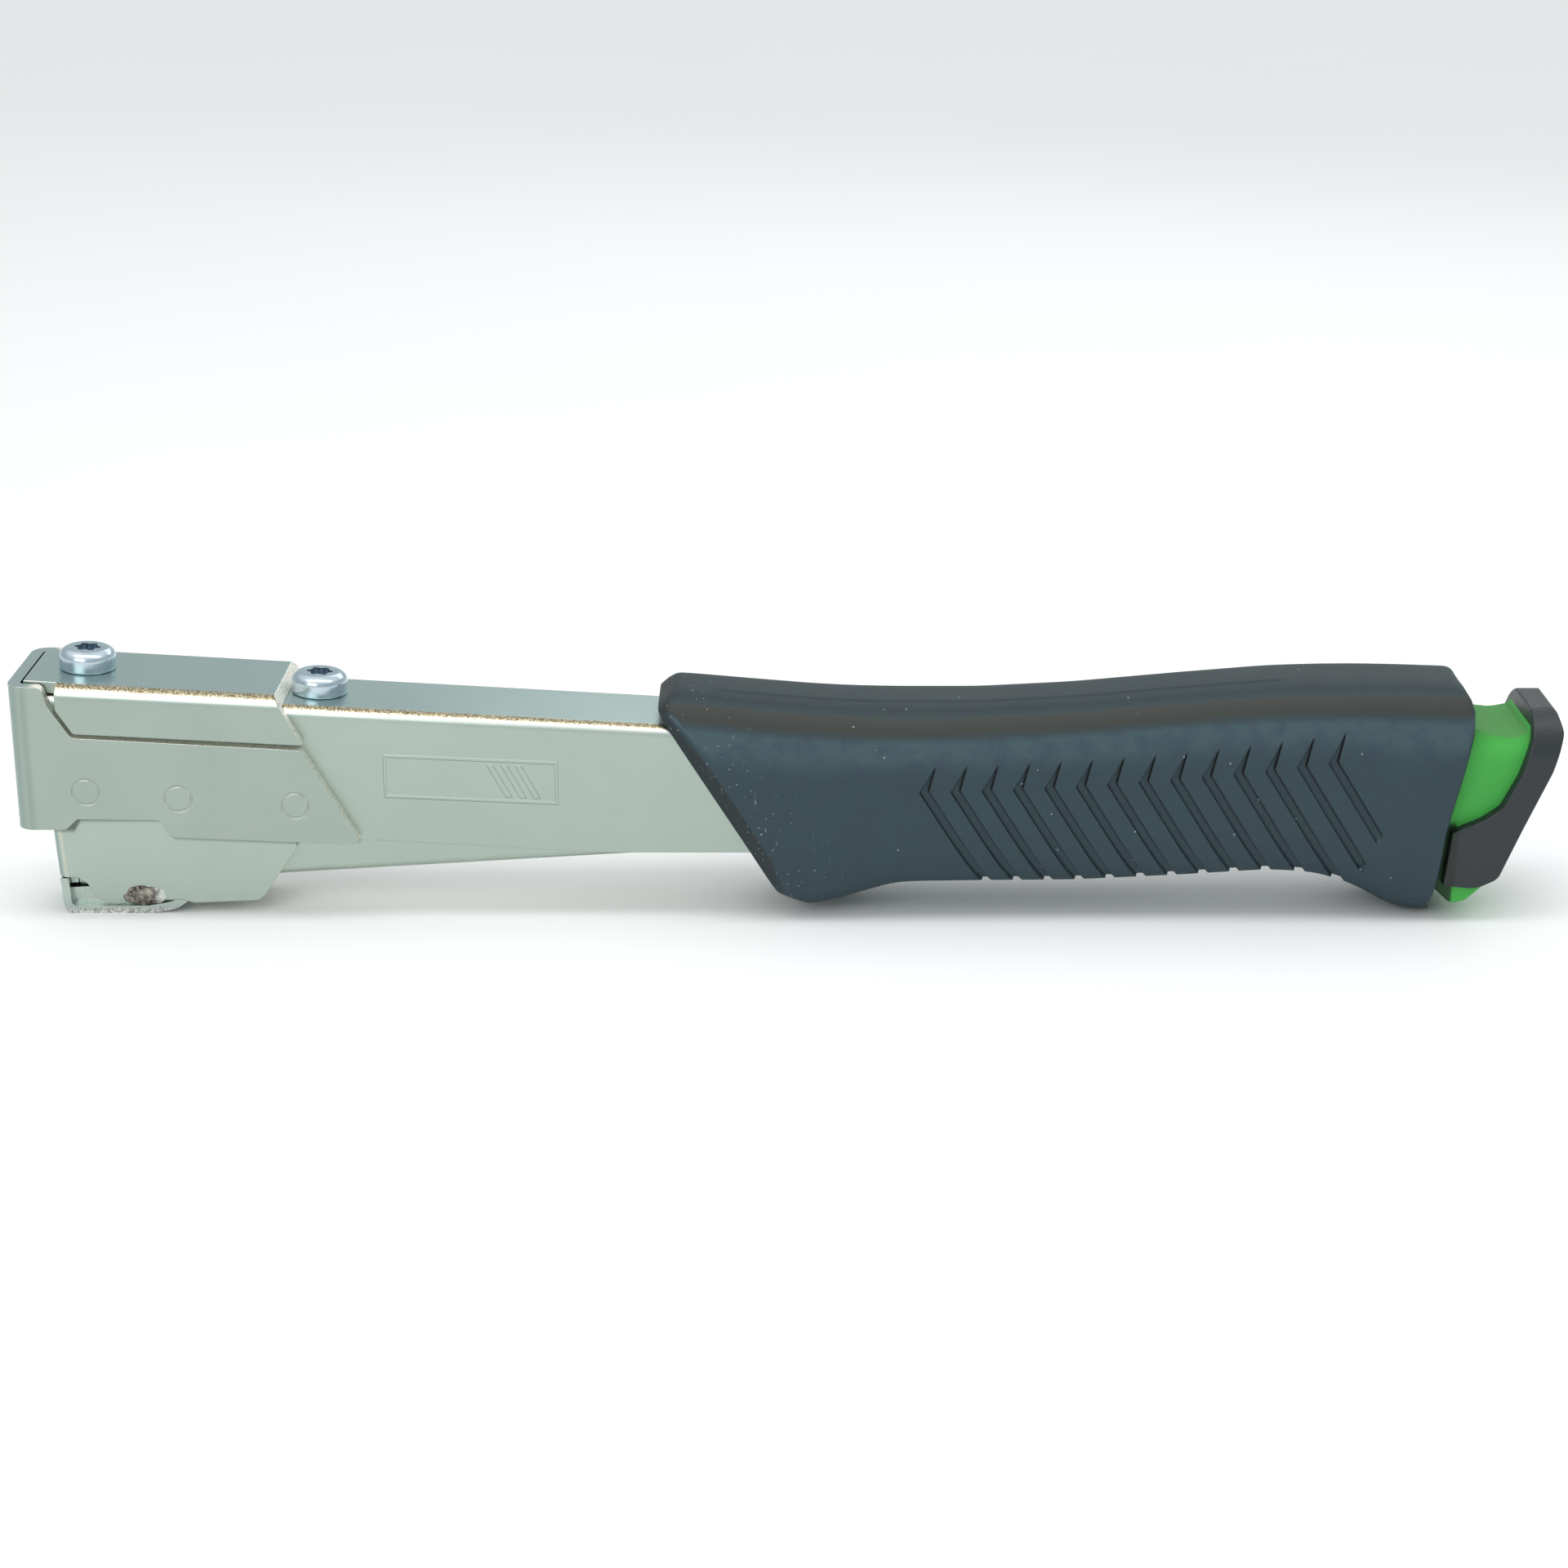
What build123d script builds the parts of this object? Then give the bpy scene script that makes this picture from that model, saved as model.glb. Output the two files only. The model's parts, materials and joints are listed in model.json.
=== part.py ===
from build123d import *
from math import cos, radians, tan
import os

# Hammer tacker: sheet-steel hammer body, swinging staple magazine, rear-loading feeder and
# rubber grip. Millimetres, +X towards the rear of the handle, -Y towards the near side, +Z up.
# The tool stands on its strike plate and on the rear toe of its grip at Z = 0.

# ---------------------------------------------------------------- driving dimensions
# Whole tool
FRONT_X = -162.5          # front face of the head
HEAD_TILT = 3.28          # degrees, fall of the head's top towards the rear
HEAD_SLOPE = tan(radians(HEAD_TILT))
BODY_TOP_AT_100 = 47.4    # height of the body's top at X = -100

# Hammer body: folded sheet, an upside-down U
SHEET = 2.0               # body sheet
WRAP_SHEET = 2.6          # cap and bracket sheet
BODY_HALF = 11.7          # half of the body's outside width
WRAP_HALF = BODY_HALF + WRAP_SHEET
BRACKET_SPOTS = [(-147.2, 29.6), (-127.8, 28.1), (-103.2, 26.6)]  # spot welds: X, Z
WEB_END_X = 0.0           # the body's top ends here, its two cheeks run on inside the grip
CHEEK_END_X = 133.0

# Magazine: a channel that rises to the rear by MAG_TILT
MAG_TILT = 3.52           # degrees
MAG_FRONT = (-150.0, 5.47)  # X, Z of the reference point on the channel's underside
MAG_END = 280.0           # rear end, along the channel
MAG_WALL = 1.5
MAG_HALF = 6.95
MAG_HEIGHT = 17.0
COVER = 0.9               # strip that closes the top of the channel
RAIL_HALF = 4.6
RAIL_TOP = 15.2
RAIL_WALL = 1.2
RAIL_SLOT_HALF = 1.4
SLOT_FRONT = -3.75        # driver slot, along the channel
SLOT_REAR = -1.8
CROWN_HALF = 5.45         # half width of the staple passage

# Nosepiece and strike plate
NOSE_WALL = 2.0
NOSE_HALF = 9.05

# Swing
PIVOT = (124.0, 27.0)     # X, Z
PIVOT_R = 3.0
RUNNING_GAP = 0.05        # radial clearance of the running fits

STOP_PIN = (30.0, 14.4)   # X, Z of the lower stop
SPACER = (118.0, 18.3)
CROSS_PIN_R = 2.0

# Driver
BLADE_X = -153.6
BLADE_THICK = 1.25
BLADE_HALF = 5.3
BLADE_TIP_Z = 16.0
BLOCK_X = (BLADE_X + BLADE_THICK / 2, -141.0)
BLOCK_FOOT_Z = 39.6
RIVET_Y = 3.4
RIVET_Z = 43.4
RIVET_R = 1.25

# Return spring between magazine and hammer body
RETURN_X = -122.0
RETURN_R = 5.5
RETURN_WIRE_R = 0.6
RETURN_TURNS = 5

# Pan-head screws, M6
SCREW_R = 3.0
HEAD_R = 5.95
HEAD_HEIGHT = 4.6
FRONT_SCREW_X = -148.0
REAR_SCREW_X = -99.0
FRONT_SHANK = 11.5
REAR_SHANK = 8.3

# Feeder
ROD_R = 2.0
ROD_W = 8.5               # height of the rod above the channel's underside
ROD_FRONT_U = 3.0         # places along the channel are called u
ROD_REAR_U = 303.0
ROD_PIN_R = 1.25
KNOB_PIN_U = 299.0
PLUG_U = (MAG_END + 0.15, 294.0)
PUSHER_U = (1.2, 17.2)
SPRING_OUT_R = 3.0
SPRING_IN_R = 2.25
KNOB_HALF = 12.0          # green core
SHELL_HALF = 14.6         # black shell
CORE_EDGE_R = 1.2
CORE_TOP = (45.4, 9.0)    # height of the top seen from behind and the radius of its corners
SHELL_EDGE_R = 0.5
SHELL_TOP = (46.3, 10.5)


# ---------------------------------------------------------------- helpers
def body_top(x):
    """Height of the body's sloping top above the ground."""
    return BODY_TOP_AT_100 - HEAD_SLOPE * (x + 100.0)


def cap_top(x):
    """Height of the head cap's sloping top above the ground."""
    return body_top(x) + WRAP_SHEET / cos(radians(HEAD_TILT))


def profile(points, radii=0.0):
    """Closed side-view outline of (x, z) points with the given corner radii."""
    return make_face(FilletPolyline(*points, radius=radii, close=True))


def plate(points, half, radii=0.0):
    """Side-view outline given a thickness from -half to +half across the tool."""
    return extrude(Plane.XZ * profile(points, radii), amount=half, both=True)


def rounded_plate(points, half, radii, edge_radius):
    """A plate whose long edges on both sides are rounded."""
    part = plate(points, half, radii)
    rims = [edge for edge in part.edges() if abs(edge.center().Y) > half - 0.001]
    return fillet(rims, edge_radius)


def seen_from_behind(half, top, corner):
    """Bar along the tool whose two upper corners are rounded."""
    bar = block(130, 170, half, -5, top)
    return fillet(bar.edges().filter_by(Axis.X).sort_by(Axis.Z)[-2:], corner)


def rod_pin_bar():
    """The cross pin through knob and rod, drawn along the magazine."""
    return Pos(KNOB_PIN_U, 0, ROD_W) * Rot(90, 0, 0) * Cylinder(ROD_PIN_R, 20)


def layer(points, inner, outer, radii=0.0):
    """The same outline as two mirrored plates between two distances from the mid-plane."""
    return plate(points, outer, radii) - plate(points, inner, radii)


def cross_rod(x, z, radius, half):
    """Round bar across the tool."""
    return Pos(x, 0, z) * Rot(90, 0, 0) * Cylinder(radius, 2 * half)


def block(x0, x1, half, z0, z1):
    """Rectangular block, symmetric across the tool."""
    centre = Pos((x0 + x1) / 2, 0, (z0 + z1) / 2)
    return centre * Box(x1 - x0, 2 * half, z1 - z0)


def on_magazine(part):
    """Places a part drawn along the magazine (x along it, z up from its underside)."""
    return Pos(MAG_FRONT[0], 0, MAG_FRONT[1]) * Rot(0, -MAG_TILT, 0) * part


def on_head(x, z, part):
    """Places a part drawn upright so that it stands square on the head's sloping top."""
    return Pos(x, 0, z) * Rot(0, HEAD_TILT, 0) * part


def both_sides(half_part):
    """A solid on the near side together with its mirror image."""
    return [half_part, mirror(half_part, about=Plane.XZ)]


# ---------------------------------------------------------------- hammer body
def folded_cover(x0, x1, half, sheet, radius, top_height):
    """Upside-down U of bent sheet along the head's slope, its top at the given height."""
    depth = 45.0
    outside = block(x0, x1, half, -depth, 0)
    outside = fillet(outside.edges().filter_by(Axis.X).sort_by(Axis.Z)[-2:], radius)
    inside = block(x0 - 1, x1 + 1, half - sheet, -depth - 1, -sheet)
    return on_head(-100.0, top_height, outside - inside)


def wrapped_wall(x0, x1, half, sheet, radius, z0, z1):
    """U of bent sheet seen from above, open to the rear."""
    outside = block(x0, x1, half, z0, z1)
    front = outside.edges().filter_by(Axis.Z).sort_by(Axis.X)[:2]
    outside = fillet(front, radius)
    inside = block(x0 + sheet, x1 + 1, half - sheet, z0 - 1, z1 + 1)
    front = inside.edges().filter_by(Axis.Z).sort_by(Axis.X)[:2]
    return outside - fillet(front, max(radius - sheet, 0.4))


def body_channel():
    """Upside-down U with a sloping top; behind the web two cheeks carry pivot and stop."""
    front_x = FRONT_X + WRAP_SHEET + 1.2
    side = [
        (front_x, 60), (WEB_END_X, 60), (WEB_END_X, 15.0), (-38, 15.0), (-90, 18.0),
        (-128, 20.2), (-134, 24.6), (front_x, 24.6),
    ]
    body = folded_cover(-70, 110, BODY_HALF, SHEET, 2.4, BODY_TOP_AT_100)
    body &= plate(side, BODY_HALF + 1)
    body += layer(
        [(WEB_END_X, body_top(WEB_END_X)), (CHEEK_END_X, 43.0), (CHEEK_END_X, 15.0),
         (40, 15.0), (36, 11.8), (24, 11.8), (20, 15.0), (WEB_END_X, 15.0)],
        BODY_HALF - SHEET, BODY_HALF,
    )
    body -= cross_rod(*PIVOT, PIVOT_R, BODY_HALF + 1)
    body -= cross_rod(*STOP_PIN, CROSS_PIN_R, BODY_HALF + 1)
    body -= cross_rod(*SPACER, CROSS_PIN_R, BODY_HALF + 1)
    body -= on_head(FRONT_SCREW_X, cap_top(FRONT_SCREW_X), Cylinder(SCREW_R, 14))
    return body - on_head(REAR_SCREW_X, body_top(REAR_SCREW_X), Cylinder(SCREW_R, 12))


def head_bracket():
    """U-shaped sheet wrapped round the front of the head, with three spot welds a side."""
    x0 = FRONT_X
    outline = [
        (x0 - 1, 53.0), (-154.9, 52.7), (-153.9, 48.6), (-149.4, 41.6), (-101.4, 38.9),
        (-89.9, 18.6), (-91.5, 17.8), (-130.2, 19.4), (-132.0, 23.3), (-149.5, 23.5),
        (-152.0, 21.1), (x0 - 1, 21.1),
    ]
    radii = [0.0, 1.6, 0.8, 2.0, 1.2, 0.6, 0.8, 1.6, 1.6, 1.4, 1.6, 0.0]
    bracket = wrapped_wall(x0, -80, WRAP_HALF, WRAP_SHEET, 3.8, 10, 60)
    bracket &= plate(outline, WRAP_HALF + 1, radii)
    for x, z in BRACKET_SPOTS:
        ring = cross_rod(x, z, 3.0, WRAP_HALF + 1) - cross_rod(x, z, 2.6, WRAP_HALF + 2)
        bracket -= ring - block(-170, 0, WRAP_HALF - 0.2, 0, 60)
    return bracket


def head_cap():
    """Upside-down U that covers the head between the two screws."""
    tongue = plate(
        [(-159.2, cap_top(-159.2)), (-151, cap_top(-151)), (-151, body_top(-151)),
         (-159.2, body_top(-159.2))],
        BODY_HALF - 0.4,
    )
    outline = [
        (-152.3, 60), (-111.9, 60), (-100.9, 40.1), (-101.5, 39.9), (-149.0, 42.4),
        (-152.3, 47.7),
    ]
    cap = folded_cover(-70, 20, WRAP_HALF, WRAP_SHEET, 3.0, cap_top(-100))
    cap &= plate(outline, WRAP_HALF + 1, [0.0, 0.0, 0.3, 0.8, 1.2, 0.6])
    cap += tongue
    return cap - on_head(FRONT_SCREW_X, cap_top(FRONT_SCREW_X), Cylinder(SCREW_R, 12))


def pan_screw(shank):
    """M6 pan-head screw with a six-lobe socket, its head's underside at Z = 0."""
    head = Cylinder(HEAD_R, HEAD_HEIGHT, align=(Align.CENTER, Align.CENTER, Align.MIN))
    head = fillet(head.edges().filter_by(GeomType.CIRCLE).sort_by(Axis.Z)[-1], 2.1)
    head = fillet(head.edges().filter_by(GeomType.CIRCLE).sort_by(Axis.Z)[0], 0.5)
    socket = Cylinder(2.15, 2.6)
    lobe = Cylinder(0.72, 2.6)
    for turn in range(6):
        socket += Rot(0, 0, 60 * turn) * Pos(2.05, 0, 0) * lobe
    thread = Pos(0, 0, -shank) * Cylinder(
        SCREW_R, shank, align=(Align.CENTER, Align.CENTER, Align.MIN))
    thread = chamfer(thread.edges().filter_by(GeomType.CIRCLE).sort_by(Axis.Z)[0], 0.6)
    return head - Pos(0, 0, HEAD_HEIGHT - 1.3) * socket + thread


def front_screw():
    return on_head(FRONT_SCREW_X, cap_top(FRONT_SCREW_X), pan_screw(FRONT_SHANK))


def rear_screw():
    return on_head(REAR_SCREW_X, body_top(REAR_SCREW_X), pan_screw(REAR_SHANK))


def under_web(x0, x1, half, foot_z):
    """Block between a foot height and the underside of the body's sloping web."""
    drop = SHEET / cos(radians(HEAD_TILT))
    return plate(
        [(x0, body_top(x0) - drop), (x1, body_top(x1) - drop), (x1, foot_z), (x0, foot_z)], half
    )


def rivet_holes():
    """The two rivets' holes, through the blade and into the block."""
    hole = Pos(BLADE_X, RIVET_Y, RIVET_Z) * Rot(0, 90, 0) * Cylinder(RIVET_R, 6.1)
    return hole + mirror(hole, about=Plane.XZ)


def driver_block():
    """Threaded block under the web that holds the driver blade."""
    holder = under_web(*BLOCK_X, 9.0, BLOCK_FOOT_Z)
    holder -= on_head(FRONT_SCREW_X, cap_top(FRONT_SCREW_X), Cylinder(SCREW_R, 40))
    return holder - rivet_holes()


def driver_blade():
    """Hardened strip that drives the staple out through the nose slot."""
    blade = block(BLADE_X - BLADE_THICK / 2, BLADE_X + BLADE_THICK / 2, BLADE_HALF,
                  BLADE_TIP_Z, 47.0)
    return blade - rivet_holes()


def blade_rivets():
    """Two rivets through blade and block."""
    front = BLADE_X - BLADE_THICK / 2
    rivet = Pos(front + 1.8, RIVET_Y, RIVET_Z) * Rot(0, 90, 0) * Cylinder(RIVET_R, 3.6)
    head = Pos(front - 0.4, RIVET_Y, RIVET_Z) * Rot(0, 90, 0) * Cylinder(2.1, 0.8)
    return both_sides(rivet + head)


def rear_nut():
    """Square nut under the web; it is also the magazine's upper stop."""
    nut = under_web(REAR_SCREW_X - 5, REAR_SCREW_X + 5, 5.0, 38.9)
    return nut - on_head(REAR_SCREW_X, body_top(REAR_SCREW_X), Cylinder(SCREW_R, 40))


def cup_top_z():
    """Height of the spring cup's seat at the return spring's axis."""
    seat = MAG_HEIGHT + 0.8
    return (MAG_FRONT[1] + (RETURN_X - MAG_FRONT[0]) * tan(radians(MAG_TILT))
            + seat / cos(radians(MAG_TILT)))


def return_spring():
    """Round-wire compression spring between the magazine and the web."""
    low = cup_top_z() + RETURN_WIRE_R + 0.4
    high = body_top(RETURN_X) - SHEET - RETURN_WIRE_R - 0.5
    height = high - low
    line = Pos(RETURN_X, 0, low) * Helix(height / RETURN_TURNS, height, RETURN_R)
    wire = Plane(origin=line @ 0, z_dir=line % 0) * Circle(RETURN_WIRE_R)
    return sweep(wire, path=line, is_frenet=True)


def stop_pin():
    """Cross pin that the magazine rests on when it is swung down."""
    return cross_rod(*STOP_PIN, CROSS_PIN_R, BODY_HALF)


def cheek_spacer():
    """Tube that ties the two cheeks together below the magazine."""
    return cross_rod(*SPACER, CROSS_PIN_R, BODY_HALF)


def pivot_pins():
    """Two short pins, one through each cheek into the magazine's wall."""
    pin = Pos(PIVOT[0], -(BODY_HALF + CROWN_HALF + 0.15) / 2, PIVOT[1]) * Rot(90, 0, 0)
    return both_sides(pin * Cylinder(PIVOT_R, BODY_HALF - CROWN_HALF - 0.15))


# ---------------------------------------------------------------- grip
# Stations along the handle: x, underside, top, half width
GRIP_STATIONS = [
    (-34, 0.6, 50.4, 15.6), (-22, 0.8, 50.0, 15.8), (-8, 1.0, 48.7, 16.0),
    (6, 1.1, 47.5, 16.0), (14, 3.4, 47.0, 15.9), (24, 6.4, 46.75, 15.7),
    (42, 6.6, 46.8, 15.4), (62, 6.7, 47.9, 15.2), (84, 7.8, 49.9, 15.4),
    (104, 9.2, 51.5, 15.8), (114, 8.6, 51.9, 16.0), (123, 5.6, 52.0, 16.1),
    (131, 0.4, 51.9, 16.2), (137, 0.0, 51.7, 16.2), (148, 0.0, 51.2, 16.0),
]
GRIP_FRONT = [(-27.0, 47.6), (-24.2, 42.5), (-7.3, 15.6), (-1.0, 5.2), (6.5, -1.0)]
GRIP_REAR = [(137.6, -1.0), (138.8, 6.3), (140.1, 21.0), (143.4, 35.8), (145.1, 45.0),
             (142.5, 53.0)]


def grip_section(x, low, high, half):
    """Rounded cross-section of the grip at one station."""
    section = RectangleRounded(2 * half, high - low, half * 0.78)
    return Plane(origin=(x, 0, (low + high) / 2), x_dir=(0, 1, 0), z_dir=(1, 0, 0)) * section


def body_envelope(half):
    """Space that the body channel fills inside the grip."""
    return plate(
        [(-40, body_top(-40)), (WEB_END_X, body_top(WEB_END_X)), (CHEEK_END_X + 0.4, 43.1),
         (CHEEK_END_X + 0.4, 14.4), (40, 14.4), (37, 11.8), (23, 11.8), (20, 13.4), (-40, 9.0)],
        half,
    )


def grip():
    """Rubber sleeve pulled over the body, with a pocket for the knob at its rear."""
    sections = [grip_section(*station) for station in GRIP_STATIONS]
    sleeve = loft(sections, ruled=True)
    side = GRIP_FRONT + GRIP_REAR + [(-22.0, 53.0)]
    sleeve &= plate(side, 20.0)
    sleeve -= body_envelope(BODY_HALF)
    pocket = [(CHEEK_END_X, 4.2), (150, 4.2), (150, 44.4), (CHEEK_END_X, 44.4)]
    return sleeve - plate(pocket, KNOB_HALF + 0.7)


# ---------------------------------------------------------------- magazine
def magazine_channel():
    """Upward-open U that carries the staples."""
    outside = block(SLOT_REAR, MAG_END, MAG_HALF, 0, MAG_HEIGHT)
    lower_edges = outside.edges().filter_by(Axis.X).sort_by(Axis.Z)[:2]
    outside = fillet(lower_edges, 1.8)
    inside = block(SLOT_REAR - 1, MAG_END + 1, CROWN_HALF, MAG_WALL, MAG_HEIGHT + 1)
    channel = on_magazine(outside - inside)
    return channel - cross_rod(*PIVOT, PIVOT_R + RUNNING_GAP, MAG_HALF + 1)


def staple_rail():
    """Upside-down U that the staples straddle, slotted along its top for the pusher."""
    rail = block(SLOT_REAR, MAG_END, RAIL_HALF, MAG_WALL, RAIL_TOP)
    rail = fillet(rail.edges().filter_by(Axis.X).sort_by(Axis.Z)[-2:], 0.6)
    hollow = block(SLOT_REAR - 1, MAG_END + 1, RAIL_HALF - RAIL_WALL, 0, RAIL_TOP - RAIL_WALL)
    slot = block(SLOT_REAR - 1, MAG_END + 1, RAIL_SLOT_HALF, RAIL_WALL, RAIL_TOP + 1)
    bridge = block(MAG_END - 4, MAG_END, RAIL_HALF - RAIL_WALL, MAG_WALL, MAG_WALL + 1.2)
    return on_magazine(rail - hollow - slot + bridge + Pos(-MAG_END + 6, 0, 0) * bridge)


def magazine_cover():
    """Strip that closes the top of the channel and keeps the staples down."""
    strip = block(SLOT_REAR, MAG_END, CROWN_HALF, MAG_HEIGHT - COVER, MAG_HEIGHT)
    return on_magazine(strip)


def foot_strip():
    """Bent strip of the strike plate, flat on the ground and turned up at both ends."""
    outline = [(-155.55, 8.0), (-155.3, 6.4), (-155.1, 0.0), (-136.7, 0.0), (-131.0, 0.9),
               (-127.0, 3.6), (-128.0, 4.9), (-131.8, 2.6), (-136.9, 1.7), (-153.4, 1.7),
               (-153.6, 6.5), (-153.8, 8.0)]
    radii = [0.3, 0.0, 2.6, 6.0, 6.0, 0.5, 0.5, 5.0, 5.0, 1.0, 0.0, 0.3]
    return plate(outline, NOSE_HALF - 0.3, radii)


def nosepiece():
    """U-shaped sheet welded round the front of the magazine; its front wall guides the staple."""
    x0 = SLOT_FRONT - NOSE_WALL
    outline = [
        (x0 - 1, 18.0), (40.0, 18.0), (46.6, 7.3), (38.0, -3.9), (36.5, -4.7), (22.9, -4.5),
        (20.5, -3.6), (6.5, -2.9), (2.2, -2.6), (0.6, 1.2), (-1.6, 3.0), (x0 - 1, 3.0),
    ]
    radii = [0.0, 2.0, 1.0, 0.8, 0.5, 0.6, 1.2, 1.2, 1.5, 3.0, 0.8, 0.0]
    shell = wrapped_wall(x0, 60, NOSE_HALF, NOSE_WALL, 2.8, -10, 30)
    shell &= plate(outline, NOSE_HALF + 1, radii)
    slot_sides = block(SLOT_FRONT, SLOT_REAR, NOSE_HALF - NOSE_WALL, 1.0, 18.0)
    slot_sides -= block(SLOT_FRONT - 1, SLOT_REAR + 1, CROWN_HALF, 0, 30)
    return on_magazine(shell + slot_sides) - foot_strip()


def strike_plate():
    """Hardened foot: a bent strip under the nose and the guide block that it is welded to."""
    guide = plate([(-153.5, 1.7), (-136.9, 1.7), (-131.8, 2.6), (-128.4, 6.75),
                   (-151.75, 5.35), (-153.5, 5.25)], MAG_HALF - 0.05)
    slot = on_magazine(block(SLOT_FRONT - 0.1, SLOT_REAR + 0.1, CROWN_HALF, -12, 4.0))
    return foot_strip() + guide - slot


def nose_welds():
    """One weld bead a side, joining nosepiece and strike plate."""
    bead = Pos(-137.5, -NOSE_HALF, 4.2) * scale(Sphere(1.0), by=(5.2, 1.5, 2.5))
    bead -= block(-160, -100, NOSE_HALF, -5, 20)
    return both_sides(bead)


def spring_cup():
    """Pressed cup on the cover that seats the return spring."""
    along_mag = (RETURN_X - MAG_FRONT[0]) / cos(radians(MAG_TILT)) + 1.0
    base = Pos(along_mag, 0, MAG_HEIGHT + 0.4) * Cylinder(6.6, 0.8)
    stud = Pos(along_mag, 0, MAG_HEIGHT + 1.8) * Cylinder(3.8, 2.0)
    return on_magazine(base + stud)


def pivot_bushes():
    """Washer between each magazine wall and cheek, on the pivot pins."""
    length = BODY_HALF - SHEET - MAG_HALF - 0.1
    bush = Cylinder(5.0, length) - Cylinder(PIVOT_R + RUNNING_GAP, length)
    place = Pos(PIVOT[0], -(MAG_HALF + length / 2), PIVOT[1]) * Rot(90, 0, 0)
    return both_sides(place * bush)


# ---------------------------------------------------------------- feeder
def along_rod(u0, u1, radius):
    """Round bar on the guide rod's axis between two places along the magazine."""
    return Pos((u0 + u1) / 2, 0, ROD_W) * Rot(0, 90, 0) * Cylinder(radius, u1 - u0)


CORE_OUTLINE = [
    (136.4, 9.6), (140.2, 5.7), (142.8, 3.2), (146.0, 3.9), (149.4, 7.0), (153.8, 19.5),
    (159.0, 32.0), (161.0, 40.0), (160.6, 44.6), (158.2, 45.4), (157.0, 41.4), (153.2, 40.5),
    (148.6, 41.1), (145.4, 42.4), (141.8, 42.6),
]
CORE_RADII = [0.8, 2.0, 2.0, 2.0, 4.0, 10.0, 8.0, 4.0, 0.5, 0.5, 1.5, 6.0, 6.0, 4.0, 0.8]
SHELL_OUTLINE = [
    (140.3, 8.4), (147.5, 7.7), (152.0, 9.9), (156.4, 21.0), (161.8, 33.9), (164.0, 42.0),
    (162.9, 46.2), (157.7, 45.9), (157.2, 40.7), (155.0, 33.0), (151.6, 25.9), (147.9, 23.2),
    (141.5, 20.4),
]
SHELL_RADII = [0.4, 6.0, 3.0, 20.0, 8.0, 3.0, 1.6, 0.6, 6.0, 8.0, 4.0, 6.0, 0.4]


def knob_core():
    """Green handle of the feeder, with the plug that closes the rear of the magazine."""
    core = rounded_plate(CORE_OUTLINE, KNOB_HALF, CORE_RADII, CORE_EDGE_R)
    core &= seen_from_behind(KNOB_HALF, *CORE_TOP)
    plug = on_magazine(block(*PLUG_U, 6.6, 0.6, MAG_HEIGHT + 0.2))
    core += plug
    core -= on_magazine(along_rod(MAG_END, ROD_REAR_U, ROD_R))
    return core - on_magazine(rod_pin_bar())


def knob_shell():
    """Black shell round the sides and rear of the knob, its upper end rounded like a paddle."""
    shell = plate(SHELL_OUTLINE, SHELL_HALF, SHELL_RADII)
    shell &= seen_from_behind(SHELL_HALF, *SHELL_TOP)
    rims = [edge for edge in shell.edges() if abs(edge.tangent_at(0.5).Y) < 0.99]
    shell = fillet(rims, SHELL_EDGE_R)
    core_space = plate(CORE_OUTLINE, KNOB_HALF, CORE_RADII)
    return shell - (core_space & seen_from_behind(KNOB_HALF, *CORE_TOP))


def guide_rod():
    """Rod that the feed spring and the pusher run on."""
    rod = along_rod(ROD_FRONT_U, ROD_REAR_U, ROD_R)
    rod -= rod_pin_bar()
    groove = along_rod(ROD_FRONT_U + 1, ROD_FRONT_U + 1.8, ROD_R + 1)
    groove -= along_rod(ROD_FRONT_U, ROD_FRONT_U + 3, ROD_R - 0.5)
    return on_magazine(rod - groove)


def rod_clip():
    """Retaining ring at the rod's front end."""
    ring = along_rod(ROD_FRONT_U + 1, ROD_FRONT_U + 1.8, 2.9)
    return on_magazine(ring - along_rod(ROD_FRONT_U, ROD_FRONT_U + 3, ROD_R - 0.5))


def rod_pin():
    """Cross pin that holds the rod in the knob."""
    return on_magazine(rod_pin_bar())


def latch_clip():
    """Leaf on top of the plug that grips the end of the magazine's cover."""
    leaf = profile([(264, 17.3), (262.4, 18.3), (262.9, 18.8), (264.4, 17.9), (292, 17.8),
                    (292, 17.2), (280.3, 17.2), (279.9, 17.3)])
    return on_magazine(extrude(Plane.XZ * leaf, amount=4.0, both=True))


def feed_spring():
    """Envelope of the long spring on the rod between pusher and knob."""
    coil = along_rod(PUSHER_U[1] + 0.1, MAG_END, SPRING_OUT_R)
    return on_magazine(coil - along_rod(0, MAG_END + 10, SPRING_IN_R))


# ---------------------------------------------------------------- pusher
def pusher():
    """Saddle over the rail with a core inside it that slides on the rod."""
    u0, u1 = PUSHER_U
    saddle = block(u0, u1, CROWN_HALF - 0.15, 2.2, RAIL_TOP + 0.75)
    saddle -= block(u0 - 1, u1 + 1, RAIL_HALF + 0.15, 0, RAIL_TOP + 0.15)
    web = block(u0, u1, RAIL_SLOT_HALF - 0.3, 10.0, RAIL_TOP + 0.5)
    core = block(u0, u1, RAIL_HALF - RAIL_WALL - 0.2, 4.0, RAIL_TOP - RAIL_WALL - 0.2)
    bore = along_rod(u0 - 1, u1 + 1, ROD_R + RUNNING_GAP)
    recess = along_rod(u0 - 1, ROD_FRONT_U + 1.9, 3.05)
    return on_magazine(saddle + web + core - bore - recess)


# ---------------------------------------------------------------- export
PARTS = [
    body_channel, head_bracket, head_cap, front_screw, rear_screw, driver_block, driver_blade,
    blade_rivets, rear_nut, return_spring, stop_pin, cheek_spacer, pivot_pins, grip,
    magazine_channel, staple_rail, magazine_cover, nosepiece, strike_plate, nose_welds,
    spring_cup, pivot_bushes, knob_core, knob_shell, guide_rod, rod_clip, rod_pin, latch_clip,
    feed_spring, pusher,
]


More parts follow.
